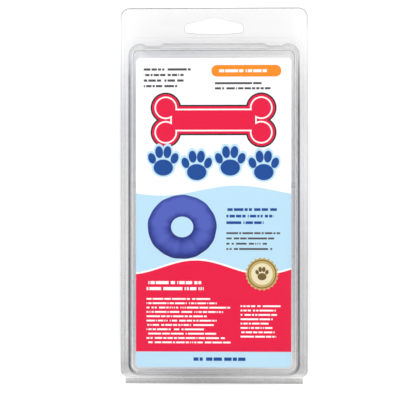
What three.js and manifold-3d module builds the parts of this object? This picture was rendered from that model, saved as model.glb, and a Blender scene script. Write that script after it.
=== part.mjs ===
// A clear hinged hanging pack, closed and lying on its back: a rear tray and a front shell joined by a
// living hinge, a printed card behind the front face, and a deflated neck collar folded in half inside.
// Millimetres. +Z is up, out of the front face. +Y runs towards the hanging edge. The origin lies under the
// middle of the pack, on its back face.
import * as THREE from "three";
import { mergeVertices } from "three/addons/utils/BufferGeometryUtils.js";
import Module from "manifold-3d";

const wasm = await Module();
wasm.setup();

// Sheet that both shells are formed from, and the gaps between pieces.
const SHEET = 0.5;
const FLANGE_GAP = 0.3;
const NEST_GAP = 0.3;
const CARD_GAP = 0.3;
const HINGE_GAP = 0.3;
const COLLAR_GAP = 0.4;

// Depth of each half, measured from its flange.
const TRAY_DEPTH = 15.3;
const FRONT_DEPTH = 14.4;

// Printed card, and the space left round it inside the flat front face.
const CARD_WIDTH = 109;
const CARD_LENGTH = 217;
const CARD_THICKNESS = 0.5;
const CARD_CORNER = 3;
const CARD_SIDE_ROOM = 1.6;
const CARD_HEAD_ROOM = 4.7;
const CARD_FOOT_ROOM = 1.7;

// Walls of the front shell: rounded edge of the face, and how far each wall leans in.
const FACE_ROUND = 2;
const SIDE_LEAN = 2;
const HEAD_LEAN = 4.5;
const FOOT_LEAN = 3.2;
const FACE_CORNER = 3.5;
const WALL_CORNER = 8;

// Flat flange round the walls.
const FLANGE_SIDE = 6.3;
const FLANGE_TAB = 25.55;
const FLANGE_FOOT = 1.35;
const TAB_CORNER = 6.4;
const FLANGE_FOOT_CORNER = 5;

// Two pinches in the head wall, where the halves snap together.
const PINCH_DEPTH = 2;
const PINCH_FLAT = 9.3;
const PINCH_RAMP = 3.5;
const PINCH_OFFSET = 43.4;

// Nubs on the side walls that hold the card up against the face.
const NUB_LENGTH = 4.3;
const NUB_HEIGHT = 1.5;
const NUB_OVERLAP = 0.6;
const NUB_ABOVE_CARD_MIDDLE = 19.5;

// Rim of the tray that nests inside the front shell's walls, and the lean of the tray's own walls.
const RIM_HEIGHT = 4.5;
const RIM_WIDTH = 1.9;
const TRAY_SIDE_LEAN = 1.5;
const TRAY_END_LEAN = 3;
const TRAY_CORNER = 5;

// Hanging slot through both flanges.
const SLOT_WIDTH = 41.3;
const SLOT_SHOULDER = 5.5;
const SLOT_PEAK = 4.6;
const SLOT_BOW = 1.3;
const SLOT_CORNER = 2;
const SLOT_PEAK_WIDTH = 7;
const SLOT_MARGIN = 7.3;

// Living hinge: an open loop of sheet along the foot of both flanges.
const LOOP_RADIUS = 2.25;
const LOOP_SIDE_SETBACK = 3.5;

// Folded collar.
const NECK_REACH = 22.4;
const COLLAR_END_ROOM = 5.5;
const COLLAR_LAYER_GAP = 1;
const COLLAR_TIP = 8;
const SECTION_POWER = 2.6;

// Numbers of steps on round stretches.
const CORNER_STEPS = 5;
const ROUND_STEPS = 3;
const LOOP_STEPS = 16;
const SLOT_STEPS = 4;
const SECTION_POINTS = 14;
const ARC_STATIONS = 13;
const FOLD_STATIONS = 7;

// Heights.
const TRAY_FLANGE_TOP = TRAY_DEPTH;
const TRAY_FLANGE_BOTTOM = TRAY_FLANGE_TOP - SHEET;
const FRONT_FLANGE_BOTTOM = TRAY_FLANGE_TOP + FLANGE_GAP;
const FRONT_FLANGE_TOP = FRONT_FLANGE_BOTTOM + SHEET;
const FACE_TOP = FRONT_FLANGE_BOTTOM + FRONT_DEPTH;
const CARD_BOTTOM = FACE_TOP - SHEET - CARD_GAP - CARD_THICKNESS;
const RIM_TOP = TRAY_FLANGE_TOP + RIM_HEIGHT;
const HINGE_HEIGHT = (TRAY_FLANGE_TOP + FRONT_FLANGE_BOTTOM) / 2;

// Places along the length. The hinge loop's outer edge and the hanging edge are the two ends.
const WALL_FOOT_TO_CARD = FOOT_LEAN + FACE_ROUND + CARD_FOOT_ROOM;
const WALL_HEAD_TO_CARD = HEAD_LEAN + FACE_ROUND + CARD_HEAD_ROOM;
const FLANGE_LENGTH = FLANGE_FOOT + WALL_FOOT_TO_CARD + CARD_LENGTH + WALL_HEAD_TO_CARD + FLANGE_TAB;
const PACK_LENGTH = 2 * LOOP_RADIUS + HINGE_GAP + FLANGE_LENGTH;
const HANGING_EDGE = PACK_LENGTH / 2;
const FLANGE_END = HANGING_EDGE - FLANGE_LENGTH;
const HINGE_LINE = LOOP_RADIUS - PACK_LENGTH / 2;
const CARD_FOOT = FLANGE_END + FLANGE_FOOT + WALL_FOOT_TO_CARD;
const CARD_HEAD = CARD_FOOT + CARD_LENGTH;
const CARD_MIDDLE = (CARD_FOOT + CARD_HEAD) / 2;

// Outlines are rounded rectangles. halfWidth is across X. head and foot are the two ends in Y.
const FACE = {
  halfWidth: CARD_WIDTH / 2 + CARD_SIDE_ROOM,
  head: CARD_HEAD + CARD_HEAD_ROOM,
  foot: CARD_FOOT - CARD_FOOT_ROOM,
  headCorner: FACE_CORNER,
  footCorner: FACE_CORNER,
  pinch: 0,
};
const WALL_TOP = inset(FACE, -FACE_ROUND);
const WALL_BASE = {
  halfWidth: WALL_TOP.halfWidth + SIDE_LEAN,
  head: WALL_TOP.head + HEAD_LEAN,
  foot: WALL_TOP.foot - FOOT_LEAN,
  headCorner: WALL_CORNER,
  footCorner: WALL_CORNER,
  pinch: PINCH_DEPTH,
};
const FLANGE = {
  halfWidth: WALL_BASE.halfWidth + FLANGE_SIDE,
  head: HANGING_EDGE,
  foot: FLANGE_END,
  headCorner: TAB_CORNER,
  footCorner: FLANGE_FOOT_CORNER,
  pinch: 0,
};

// The same outline drawn in by a distance all round, or out by a negative one.
function inset(outline, distance) {
  return {
    halfWidth: outline.halfWidth - distance,
    head: outline.head - distance,
    foot: outline.foot + distance,
    headCorner: Math.max(outline.headCorner - distance, SHEET),
    footCorner: Math.max(outline.footCorner - distance, SHEET),
    pinch: outline.pinch,
  };
}

// The outline part of the way from one to another.
function between(from, to, share) {
  const mixed = {};
  for (const key of Object.keys(from)) mixed[key] = THREE.MathUtils.lerp(from[key], to[key], share);
  return mixed;
}

// Points on the head side from right to left: each pinch is a flat between two ramps.
const PINCH_HALF = PINCH_FLAT / 2 + PINCH_RAMP;
const PINCH_ROWS = [
  { x: PINCH_OFFSET + PINCH_HALF, share: 0 },
  { x: PINCH_OFFSET + PINCH_FLAT / 2, share: 1 },
  { x: PINCH_OFFSET - PINCH_FLAT / 2, share: 1 },
  { x: PINCH_OFFSET - PINCH_HALF, share: 0 },
];
const HEAD_ROWS = [...PINCH_ROWS, ...[...PINCH_ROWS].reverse().map((row) => ({ ...row, x: -row.x }))];
const PINCH_REACH = PINCH_OFFSET + PINCH_HALF;

// The ring of points of an outline at one height, anticlockwise seen from above. An outline without
// pinches spreads the same points over its own head side, so that all rings join point to point.
function ring(outline, height) {
  const points = [];
  const corner = (side, end, radius, startAngle) => {
    const centreX = side * (outline.halfWidth - radius);
    const centreY = end > 0 ? outline.head - radius : outline.foot + radius;
    for (let step = 0; step <= CORNER_STEPS; step += 1) {
      const angle = startAngle + ((Math.PI / 2) * step) / CORNER_STEPS;
      points.push(
        new THREE.Vector3(centreX + radius * Math.cos(angle), centreY + radius * Math.sin(angle), height),
      );
    }
  };
  const headReach = outline.halfWidth - outline.headCorner - SHEET;
  const spread = THREE.MathUtils.lerp(headReach / PINCH_REACH, 1, outline.pinch / PINCH_DEPTH);
  corner(1, -1, outline.footCorner, -Math.PI / 2);
  corner(1, 1, outline.headCorner, 0);
  for (const row of HEAD_ROWS) {
    points.push(new THREE.Vector3(row.x * spread, outline.head - row.share * outline.pinch, height));
  }
  corner(-1, 1, outline.headCorner, Math.PI / 2);
  corner(-1, -1, outline.footCorner, Math.PI);
  return points;
}

// A closed skin through rings of points, capped at both ends. The first cap faces back along the loft.
function loft(rings, firstCap, lastCap) {
  const count = rings[0].length;
  const corners = [];
  const triangle = (a, b, c) => corners.push(...a.toArray(), ...b.toArray(), ...c.toArray());
  for (let level = 0; level + 1 < rings.length; level += 1) {
    const near = rings[level];
    const far = rings[level + 1];
    for (let index = 0; index < count; index += 1) {
      const next = (index + 1) % count;
      triangle(near[index], far[index], far[next]);
      triangle(near[index], far[next], near[next]);
    }
  }
  const first = rings[0];
  const last = rings[rings.length - 1];
  for (const [a, b, c] of THREE.ShapeUtils.triangulateShape(firstCap, [])) triangle(first[a], first[b], first[c]);
  for (const [a, b, c] of THREE.ShapeUtils.triangulateShape(lastCap, [])) triangle(last[c], last[b], last[a]);
  const geometry = new THREE.BufferGeometry();
  geometry.setAttribute("position", new THREE.Float32BufferAttribute(corners, 3));
  return geometry;
}

// The caps of rings that lie level are the rings themselves.
function loftLevels(rings) {
  return loft(rings, rings[0], rings[rings.length - 1]);
}

// A closed geometry as a solid that can be cut and joined, and back.
function solidOf(geometry) {
  const bare = geometry.index ? geometry.toNonIndexed() : geometry.clone();
  for (const name of Object.keys(bare.attributes)) {
    if (name !== "position") bare.deleteAttribute(name);
  }
  const merged = mergeVertices(bare, 1e-4);
  return new wasm.Manifold(
    new wasm.Mesh({
      numProp: 3,
      vertProperties: merged.attributes.position.array,
      triVerts: new Uint32Array(merged.index.array),
    }),
  );
}

function geometryOf(solid) {
  const mesh = solid.getMesh();
  const geometry = new THREE.BufferGeometry();
  geometry.setAttribute("position", new THREE.BufferAttribute(mesh.vertProperties, 3));
  geometry.setIndex(new THREE.BufferAttribute(mesh.triVerts, 1));
  const faceted = geometry.toNonIndexed();
  faceted.computeVertexNormals();
  return faceted;
}

// An upright prism on a flat outline, from one height to another.
function prism(shape, bottom, top, curveSegments) {
  const geometry = new THREE.ExtrudeGeometry(shape, { depth: top - bottom, bevelEnabled: false, curveSegments });
  return geometry.translate(0, 0, bottom);
}

// The hanging slot: a gently bowed lower edge and two straight slopes up to a rounded peak.
function slotShape() {
  const half = SLOT_WIDTH / 2;
  const peak = HANGING_EDGE - SLOT_MARGIN;
  const shoulder = peak - SLOT_PEAK;
  const foot = shoulder - SLOT_SHOULDER;
  const slope = SLOT_PEAK / half;
  const peakHalf = SLOT_PEAK_WIDTH / 2;
  const shape = new THREE.Shape();
  shape.moveTo(SLOT_CORNER - half, foot);
  shape.quadraticCurveTo(0, foot - 2 * SLOT_BOW, half - SLOT_CORNER, foot);
  shape.quadraticCurveTo(half, foot, half, foot + SLOT_CORNER);
  shape.lineTo(half, shoulder - SLOT_CORNER / 2);
  shape.quadraticCurveTo(half, shoulder, half - SLOT_CORNER, shoulder + slope * SLOT_CORNER);
  shape.lineTo(peakHalf, peak - slope * peakHalf);
  shape.quadraticCurveTo(0, peak + slope * peakHalf, -peakHalf, peak - slope * peakHalf);
  shape.lineTo(SLOT_CORNER - half, shoulder + slope * SLOT_CORNER);
  shape.quadraticCurveTo(-half, shoulder, -half, shoulder - SLOT_CORNER / 2);
  shape.lineTo(-half, foot + SLOT_CORNER);
  shape.quadraticCurveTo(-half, foot, SLOT_CORNER - half, foot);
  return shape;
}

function cutSlot(solid) {
  return solid.subtract(solidOf(prism(slotShape(), 0, FACE_TOP, SLOT_STEPS)));
}

// The outline of the front shell's walls at one height, which the tray's rim follows inside them.
function frontWall(height) {
  const wallTop = FACE_TOP - FACE_ROUND;
  const share = (height - FRONT_FLANGE_BOTTOM) / (wallTop - FRONT_FLANGE_BOTTOM);
  return between(WALL_BASE, WALL_TOP, share);
}

// One skin of the front shell, from its flat face out to the foot of its walls. drop is 0 for the outer
// skin and the sheet's thickness for the inner one, which lies that far in and down.
function frontSkin(drop) {
  const rings = [];
  for (let step = 0; step <= ROUND_STEPS; step += 1) {
    const angle = ((Math.PI / 2) * step) / ROUND_STEPS;
    const round = FACE_ROUND - drop;
    const outline = inset(FACE, -round * Math.sin(angle));
    rings.push(ring(outline, FACE_TOP - drop - round * (1 - Math.cos(angle))));
  }
  rings.push(ring(inset(frontWall(RIM_TOP), drop), RIM_TOP));
  rings.push(ring(inset(WALL_BASE, drop), FRONT_FLANGE_TOP - drop));
  return rings;
}

// Small ledges on the side walls, just under the card's two long edges.
function cardNub(side) {
  const top = CARD_BOTTOM - CARD_GAP;
  const inner = CARD_WIDTH / 2 - NUB_OVERLAP;
  const outer = WALL_TOP.halfWidth - SHEET / 2;
  const nub = new THREE.BoxGeometry(outer - inner, NUB_LENGTH, NUB_HEIGHT);
  return nub.translate((side * (inner + outer)) / 2, CARD_MIDDLE + NUB_ABOVE_CARD_MIDDLE, top - NUB_HEIGHT / 2);
}

function frontShell() {
  const rings = [
    ...frontSkin(0),
    ring(FLANGE, FRONT_FLANGE_TOP),
    ring(FLANGE, FRONT_FLANGE_BOTTOM),
    ...frontSkin(SHEET).reverse(),
  ];
  const shell = cutSlot(solidOf(loftLevels(rings)));
  return geometryOf(shell.add(solidOf(cardNub(1))).add(solidOf(cardNub(-1))));
}

// Outlines of the tray's rim and of its floor, on the upper side of the sheet.
const RIM_BASE_OUTSIDE = inset(WALL_BASE, SHEET + NEST_GAP);
const RIM_TOP_OUTSIDE = inset(frontWall(RIM_TOP), SHEET + NEST_GAP);
const RIM_TOP_INSIDE = inset(RIM_TOP_OUTSIDE, RIM_WIDTH);
const TRAY_FLOOR = {
  halfWidth: RIM_TOP_INSIDE.halfWidth - TRAY_SIDE_LEAN,
  head: RIM_TOP_INSIDE.head - TRAY_END_LEAN,
  foot: RIM_TOP_INSIDE.foot + TRAY_END_LEAN,
  headCorner: TRAY_CORNER,
  footCorner: TRAY_CORNER,
  pinch: 0,
};

function rearTray() {
  const rings = [
    ring(TRAY_FLOOR, SHEET),
    ring(RIM_TOP_INSIDE, RIM_TOP),
    ring(RIM_TOP_OUTSIDE, RIM_TOP),
    ring(RIM_BASE_OUTSIDE, TRAY_FLANGE_TOP),
    ring(FLANGE, TRAY_FLANGE_TOP),
    ring(FLANGE, TRAY_FLANGE_BOTTOM),
    ring(inset(RIM_BASE_OUTSIDE, SHEET), TRAY_FLANGE_BOTTOM),
    ring(inset(RIM_TOP_OUTSIDE, SHEET), RIM_TOP - SHEET),
    ring(inset(RIM_TOP_INSIDE, -SHEET), RIM_TOP - SHEET),
    ring(inset(TRAY_FLOOR, -SHEET), 0),
  ];
  return geometryOf(cutSlot(solidOf(loftLevels(rings))));
}

// The living hinge: a round loop of sheet, open towards the two flanges that its edges meet.
function livingHinge() {
  const middle = LOOP_RADIUS - SHEET / 2;
  const opening = Math.asin((FLANGE_GAP + SHEET) / 2 / middle);
  const shape = new THREE.Shape();
  shape.absarc(0, 0, LOOP_RADIUS, opening, 2 * Math.PI - opening, false);
  shape.absarc(0, 0, LOOP_RADIUS - SHEET, 2 * Math.PI - opening, opening, true);
  const length = 2 * (FLANGE.halfWidth - LOOP_SIDE_SETBACK);
  const geometry = new THREE.ExtrudeGeometry(shape, {
    depth: length,
    bevelEnabled: false,
    curveSegments: LOOP_STEPS,
  });
  // The section's X and Y become the pack's Y and Z, and its depth runs along the pack's X.
  geometry.applyMatrix4(
    new THREE.Matrix4().makeBasis(
      new THREE.Vector3(0, 1, 0),
      new THREE.Vector3(0, 0, 1),
      new THREE.Vector3(1, 0, 0),
    ),
  );
  return geometry.translate(-length / 2, HINGE_LINE, HINGE_HEIGHT);
}

function insertCard() {
  const half = CARD_WIDTH / 2;
  const corners = [
    { x: half - CARD_CORNER, y: CARD_FOOT + CARD_CORNER, start: -Math.PI / 2 },
    { x: half - CARD_CORNER, y: CARD_HEAD - CARD_CORNER, start: 0 },
    { x: CARD_CORNER - half, y: CARD_HEAD - CARD_CORNER, start: Math.PI / 2 },
    { x: CARD_CORNER - half, y: CARD_FOOT + CARD_CORNER, start: Math.PI },
  ];
  const shape = new THREE.Shape();
  for (const { x, y, start } of corners) shape.absarc(x, y, CARD_CORNER, start, start + Math.PI / 2, false);
  return prism(shape, CARD_BOTTOM, CARD_BOTTOM + CARD_THICKNESS, CORNER_STEPS);
}

// The flat collar is a broad ring, folded over at the head end so that it lies in two layers. Each layer is
// half of the ring: the neck opening lies against the left wall, and its two free tips lie at the foot end.
function foldedCollar() {
  const bottom = SHEET + COLLAR_GAP;
  const top = CARD_BOTTOM - COLLAR_GAP;
  const layer = (top - bottom - COLLAR_LAYER_GAP) / 2;
  const halfLayer = layer / 2;
  const lowerHeight = bottom + halfLayer;
  const foldHeight = (bottom + top) / 2;
  const foldRadius = foldHeight - lowerHeight;
  const reach = TRAY_FLOOR.halfWidth - COLLAR_GAP;
  const foldX = foldRadius + halfLayer - reach;
  const middleY = (TRAY_FLOOR.head + TRAY_FLOOR.foot) / 2;
  const halfLength = (TRAY_FLOOR.head - TRAY_FLOOR.foot) / 2 - COLLAR_END_ROOM;
  const halfBand = (reach - foldX - NECK_REACH) / 2;
  const radiusX = NECK_REACH + halfBand;
  const radiusY = halfLength - halfBand;

  // One section: a flattened oval, wide across the band and as thick as one layer.
  const section = (centre, across, up, scale) => {
    const points = [];
    for (let index = 0; index < SECTION_POINTS; index += 1) {
      const angle = (2 * Math.PI * index) / SECTION_POINTS;
      const squared = (value) => Math.sign(value) * Math.abs(value) ** (2 / SECTION_POWER);
      const point = centre.clone();
      point.addScaledVector(across, scale * halfBand * squared(Math.cos(angle)));
      point.addScaledVector(up, scale * halfLayer * squared(Math.sin(angle)));
      points.push(point);
    }
    return points;
  };

  // A tip: the band runs straight on past the half ring and rounds off.
  const TIP_ROWS = [
    { along: 1, scale: 0.45 },
    { along: 0.85, scale: 0.75 },
    { along: 0.55, scale: 0.93 },
  ];
  const tip = (height, up) =>
    TIP_ROWS.map(({ along, scale }) => {
      const centre = new THREE.Vector3(foldX - along * COLLAR_TIP, middleY - radiusY, height);
      return section(centre, new THREE.Vector3(0, -1, 0), up, scale);
    });
  const halfRing = (height, up) => {
    const rings = [];
    for (let station = 0; station < ARC_STATIONS; station += 1) {
      const angle = Math.PI * (station / (ARC_STATIONS - 1) - 0.5);
      const centre = new THREE.Vector3(
        foldX + radiusX * Math.cos(angle),
        middleY + radiusY * Math.sin(angle),
        height,
      );
      const across = new THREE.Vector3(Math.cos(angle) / radiusX, Math.sin(angle) / radiusY, 0).normalize();
      rings.push(section(centre, across, up, 1));
    }
    return rings;
  };
  const fold = [];
  for (let station = 1; station <= FOLD_STATIONS; station += 1) {
    const angle = (Math.PI * station) / (FOLD_STATIONS + 1);
    const centre = new THREE.Vector3(
      foldX - foldRadius * Math.sin(angle),
      middleY + radiusY,
      foldHeight - foldRadius * Math.cos(angle),
    );
    fold.push(
      section(centre, new THREE.Vector3(0, 1, 0), new THREE.Vector3(Math.sin(angle), 0, Math.cos(angle)), 1),
    );
  }
  const upwards = new THREE.Vector3(0, 0, 1);
  const downwards = new THREE.Vector3(0, 0, -1);
  const upperHeight = foldHeight + foldRadius;
  const rings = [
    ...tip(lowerHeight, upwards),
    ...halfRing(lowerHeight, upwards),
    ...fold,
    ...halfRing(upperHeight, downwards).reverse(),
    ...tip(upperHeight, downwards).reverse(),
  ];
  const cap = rings[0].map((point) => new THREE.Vector2(-point.y, point.z));
  const lastCap = rings[rings.length - 1].map((point) => new THREE.Vector2(point.y, point.z));
  return geometryOf(solidOf(loft(rings, cap, lastCap)));
}

const clearSheet = { color: 0xdde2e2, roughness: 0.08, metalness: 0, transparent: true, opacity: 0.3 };
const card = { color: 0xf6f6f4, roughness: 0.4, metalness: 0 };
const plush = { color: 0x26419c, roughness: 0.9, metalness: 0 };

function piece(name, geometry, looks) {
  const mesh = new THREE.Mesh(geometry, new THREE.MeshStandardMaterial(looks));
  mesh.name = name;
  return mesh;
}

const pack = new THREE.Group();
pack.add(piece("rear_tray", rearTray(), clearSheet));
pack.add(piece("living_hinge", livingHinge(), clearSheet));
pack.add(piece("folded_collar", foldedCollar(), plush));
pack.add(piece("insert_card", insertCard(), card));
pack.add(piece("front_shell", frontShell(), clearSheet));

export default pack;
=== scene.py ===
"""Looks of a clear hinged hanging pack with a printed card and a folded plush collar inside.
Metres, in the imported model's own frame: +Z out of the front face, +Y towards the hanging edge."""
import math

import bmesh
import bpy
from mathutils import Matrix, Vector


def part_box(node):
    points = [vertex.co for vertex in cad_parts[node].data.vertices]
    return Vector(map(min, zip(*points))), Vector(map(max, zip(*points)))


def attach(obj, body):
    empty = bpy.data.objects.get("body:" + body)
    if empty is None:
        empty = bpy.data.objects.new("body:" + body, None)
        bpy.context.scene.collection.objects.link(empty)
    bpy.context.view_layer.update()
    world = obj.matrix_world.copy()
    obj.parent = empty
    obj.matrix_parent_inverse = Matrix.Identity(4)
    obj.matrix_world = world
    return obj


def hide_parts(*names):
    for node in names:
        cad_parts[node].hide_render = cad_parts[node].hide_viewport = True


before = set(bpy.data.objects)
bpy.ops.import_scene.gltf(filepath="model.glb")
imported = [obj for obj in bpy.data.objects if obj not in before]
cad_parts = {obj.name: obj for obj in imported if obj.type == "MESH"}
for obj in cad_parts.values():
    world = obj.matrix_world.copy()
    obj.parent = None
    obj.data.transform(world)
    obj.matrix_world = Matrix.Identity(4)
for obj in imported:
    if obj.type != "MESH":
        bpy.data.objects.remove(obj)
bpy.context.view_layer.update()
MM = 0.001

# Vertices nearer than this are in one place, and edges that bend by more radians than this are sharp.
SAME_PLACE = 1e-6
SHARP = 1

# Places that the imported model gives.
front_low, front_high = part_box("front_shell")
_, tray_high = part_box("rear_tray")
card_low, card_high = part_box("insert_card")
loop_low, loop_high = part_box("living_hinge")
collar_low, collar_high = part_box("folded_collar")

# The clear sheet, and the room that each piece leaves to the next.
SHEET = 0.5 * MM
NEST_GAP = 0.3 * MM

# The front shell's face and walls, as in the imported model.
CARD_SIDE_ROOM = 1.6 * MM
CARD_HEAD_ROOM = 4.7 * MM
CARD_FOOT_ROOM = 1.7 * MM
FACE_ROUND = 2 * MM
SIDE_LEAN = 2 * MM
HEAD_LEAN = 4.5 * MM
FOOT_LEAN = 3.2 * MM
FACE_CORNER = 3.5 * MM
WALL_CORNER = 8 * MM
TAB_CORNER = 6.4 * MM
FLANGE_FOOT_CORNER = 5 * MM
PINCH_DEPTH = 2 * MM
PINCH_FLAT = 9.3 * MM
PINCH_RAMP = 3.5 * MM
PINCH_OFFSET = 43.4 * MM
PINCH_STEPS = 6
WALL_ROWS = (4 * MM, 0, -1.5 * MM)

# The tray's rim and floor.
RIM_WIDTH = 1.9 * MM
TRAY_SIDE_LEAN = 1.5 * MM
TRAY_END_LEAN = 3 * MM
TRAY_CORNER = 5 * MM
TRAY_WALL_HEIGHTS = (8 * MM, 13 * MM, 17 * MM)

# Small roundings of the formed sheet, and the shallow step of the flange round the walls.
FOOT_ROUND = 1.3 * MM
RIM_ROUND = 0.6 * MM
FLOOR_ROUND = 3 * MM
STEP_SIDE = 3.8 * MM
STEP_HEAD = 4.8 * MM
STEP_FOOT = 0.25 * MM
STEP_HEIGHT = 0.35 * MM
STEP_RUN = 0.3 * MM
STEP_CORNER = 9 * MM
INSIDE_MARGIN = 0.6 * MM

# The slot, the cut edges, the card's nubs and the folding loop.
SLOT_WIDTH = 41.3 * MM
SLOT_SHOULDER = 5.5 * MM
SLOT_PEAK = 4.6 * MM
SLOT_CROWN = 0.5 * MM
SLOT_BOW = 1.3 * MM
SLOT_CORNER = 2 * MM
SLOT_PEAK_WIDTH = 7 * MM
SLOT_MARGIN = 7.3 * MM
SLOT_CUTS = 12
SLOT_TOOL_DEPTH = 8 * MM
CUT_EDGE = 0.3 * MM
NUB_LENGTH = 4.3 * MM
NUB_HEIGHT = 1.5 * MM
NUB_OVERLAP = 0.6 * MM
NUB_ABOVE_MIDDLE = 19.5 * MM
NUB_UNDER_CARD = 0.3 * MM
NUB_WEDGE = 0.8 * MM
NUB_ROUND = 0.3 * MM
HINGE_LAP = 0.25 * MM
FRONT_SWEEP = math.radians(-148)
TRAY_SWEEP = math.radians(189)
FRONT_LOOP_SHEET = 0.4 * MM
TRAY_LOOP_SHEET = 0.35 * MM
LOOP_CUTS = 18

# The card and its print, whose measures are in millimetres.
CARD_CORNER = 3 * MM
CARD_EASE = 0.08 * MM
PRINT_SKIN = 0.1 * MM
PRINT_EDGE = 0.15
LINE_ENDS = 0.34
WORD_STEP = 0.75
WORD_GAPS = 0.2

# The share of grey in each part of the clear sheet, with lengths and places in millimetres.
CLEAR_VEIL = 0.002
CLOUD_VEIL = 0.004
FRONT_WALL_VEIL = 0.3
TRAY_WALL_VEIL = 0.17
# Painted shade on the walls, more at the foot and on the right, and a painted highlight on the walls at the head.
WALL_PAINTED_SHADE = 0.05
FOOT_PAINTED_SHADE = 0.13
RIGHT_PAINTED_SHADE = 0.05
# Greyer across the middle of the foot, on the flange and the walls.
FOOT_MIDDLE_VEIL = 0.08
HEAD_PAINTED_HIGHLIGHT = 0.045
# A painted shade line at the foot of the walls: darker towards the foot and along the middle of the right side,
# lighter at the head and low on the right.
FRONT_SHADE_LINE = 1.25
TRAY_SHADE_LINE = 0.5
LINE_MIDDLE = 0.68
LINE_LENGTH = 520
LINE_HEAD_CLEARING = 0.5
LINE_LOW_CLEARING = 0.4
LINE_RIGHT_GAIN = 0.35
# Painted highlights: along the middle of the right flange, in a thin line beside the left wall, and in a line across
# the foot.
RIGHT_PAINTED_HIGHLIGHT = 0.65
BESIDE_WALL_PAINTED_HIGHLIGHT = 0.9
FOOT_EDGE_PAINTED_HIGHLIGHT = 0.7
# Painted shade along the flange's cut outline, heavier at the top.
RIM_PAINTED_SHADE = 0.05
TOP_RIM_PAINTED_SHADE = 0.22
INSIDE_VEIL = 0.04
# Painted shade along the crease round the highest edge, heavier at the head.
CREASE_PAINTED_SHADE = 0.3
CREASE_AT_HEAD = 2.2
MOST_VEIL = 0.9
CUT_VEIL = 0.6
CUT_CLOUDS = 0.1
CUT_AT_HEAD = 0.38
CUT_AT_SLOT = 0.8
# Painted shade on the flange, by its place along the pack.
FLANGE_SHADE_PLACES = (0.006, 0.0095, 0.016, 0.024, 0.035, 0.055, 0.09, 0.32, 0.70, 0.82, 0.90, 0.985)
FLANGE_SHADE_SHARES = (0.75, 0.30, 0.16, 0.03, 0.21, 0.24, 0.17, 0.115, 0.11, 0.06, 0.042, 0.056)
FLANGE_SHADE_START = -135
FLANGE_SHADE_LENGTH = 270

# Where looks fade in: not at all at the first place, and fully from the second on. Places are in millimetres,
# and edge on is the share that a surface is turned away.
FLANGE_FADE = (0.75, 0.40)
WALL_FADE = (0.36, 0.46)
FOOT_LINE_FADE = (1.7, 1.15)
UNDER_FACE_FADE = (0.3, 0.7)
INSIDE_FADE = (0, -0.5)
RIM_FADE = (-0.8, 0)
RIGHT_FADE = (50, 60)
HEAD_FADE = (84, 100)
TOP_FADE = (118, 128)
LOW_RIGHT_FADE = (-50, -110)
FOOT_STRETCH_FADE = (-123, -124.2)
ABOVE_FOOT_FADE = (-128.5, -123)
LOOP_END_FADE = (-132.3, -132.9)
CUT_HEAD_FADE = (95, 110)
UNDER_SLOT_FADE = (130, 128)
EDGE_ON_FADE = (0.55, 0.95)

# Bands of a look, in millimetres: the middle, how far it reaches, and how far it is full.
MIDDLE_BAND = (22, 68.75, 13.75)
STRAIGHT_BAND = (-12, 100, 88)
FOOT_EDGE_BAND = (-128.9, 0.8, 0)
FOOT_MIDDLE_BAND = (-9, 36, 6)
CREASE_REACH = 0.09
CREASE_BELOW = 0.1
BESIDE_WALL = 1.75
BESIDE_WALL_REACH = 0.6

# The folded collar: its section, its tucks and folds as waves along the band, and the cloth that puffs it.
NECK_REACH = 22.4 * MM
COLLAR_LAYER_GAP = 1 * MM
COLLAR_TIP = 8 * MM
TIP_SIZES = ((1.0, 0.30), (0.96, 0.52), (0.88, 0.72), (0.74, 0.86), (0.5, 0.95), (0.24, 0.99))
SECTION_POWER = 2.3
SECTION_POINTS = 48
RING_STATIONS = 150
FOLD_STATIONS = 12
SEAM_INSET = 1.3 * MM
SEAM_TUCK = 0.7
TUCK_DEPTH = 0.34
TUCK_WAVES = ((118, 2.2, 17, 3, 1.0), (171, 1.7, 29, 4, 0.7))
FOLD_DEPTH = 0.09
FOLD_WAVES = ((19, 2.4, 0.0, 1.0), (41, -3.1, 0.8, 0.8))
FOLD_MIDDLE = 1.8
FOLD_AT_SEAM = 0.6
PIPING_RADIUS = 0.9 * MM
PIPING_SIDES = 8
COLLAR_SLACK = 1.5 * MM
PUFF_FRAMES = 20
PUFF_CLOTH = dict(quality=6, mass=0.12, tension_stiffness=12, compression_stiffness=12, bending_stiffness=0.15)
PUFF_AIR = dict(use_pressure=True, uniform_pressure_force=2.0, shrink_min=-0.09, vertex_group_mass="seams")

# The view and the light.
AIM = Vector((-9.94 * MM, -2.95 * MM, 15.5 * MM))
CAMERA_DISTANCE = 1.15
CAMERA_LEAN = math.radians(2)
FRAME_WIDTH = 284 * MM
SENSOR_WIDTH = 36
SKY_STRENGTH = 0.37
LAMPS = (
    ("lamp_head", (0.0, 1.1, 1.0), (1.6, 0.9), 9.4),
    ("lamp_foot", (0.0, -1.1, 1.0), (1.6, 0.9), 7.8),
    ("lamp_left", (-1.1, 0.0, 1.0), (0.9, 1.6), 8.6),
    ("lamp_right", (1.1, 0.0, 1.0), (0.9, 1.6), 7.8),
)

# How finely round stretches are cut.
CORNER_CUTS = 9
HEAD_CUTS = 79
ROUND_CUTS = 5
ROW_APART = 100 * MM
SMOOTH_ANGLE = math.radians(40)


def mode(name):
    """Edit mode or object mode for the active piece."""
    bpy.ops.object.mode_set(mode=name)


def select_mesh(action="SELECT"):
    """All of the mesh in edit mode is selected, or none of it."""
    bpy.ops.mesh.select_all(action=action)


def settle():
    """The selected piece keeps its shape, with its place, turn and scale back at nothing."""
    bpy.ops.object.transform_apply(location=True, rotation=True, scale=True)


def select_none():
    """Edit mode is left and nothing is selected, so that the next operator acts on what it makes."""
    if bpy.context.object and bpy.context.object.mode != "OBJECT":
        mode("OBJECT")
    bpy.ops.object.select_all(action="DESELECT")


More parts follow.
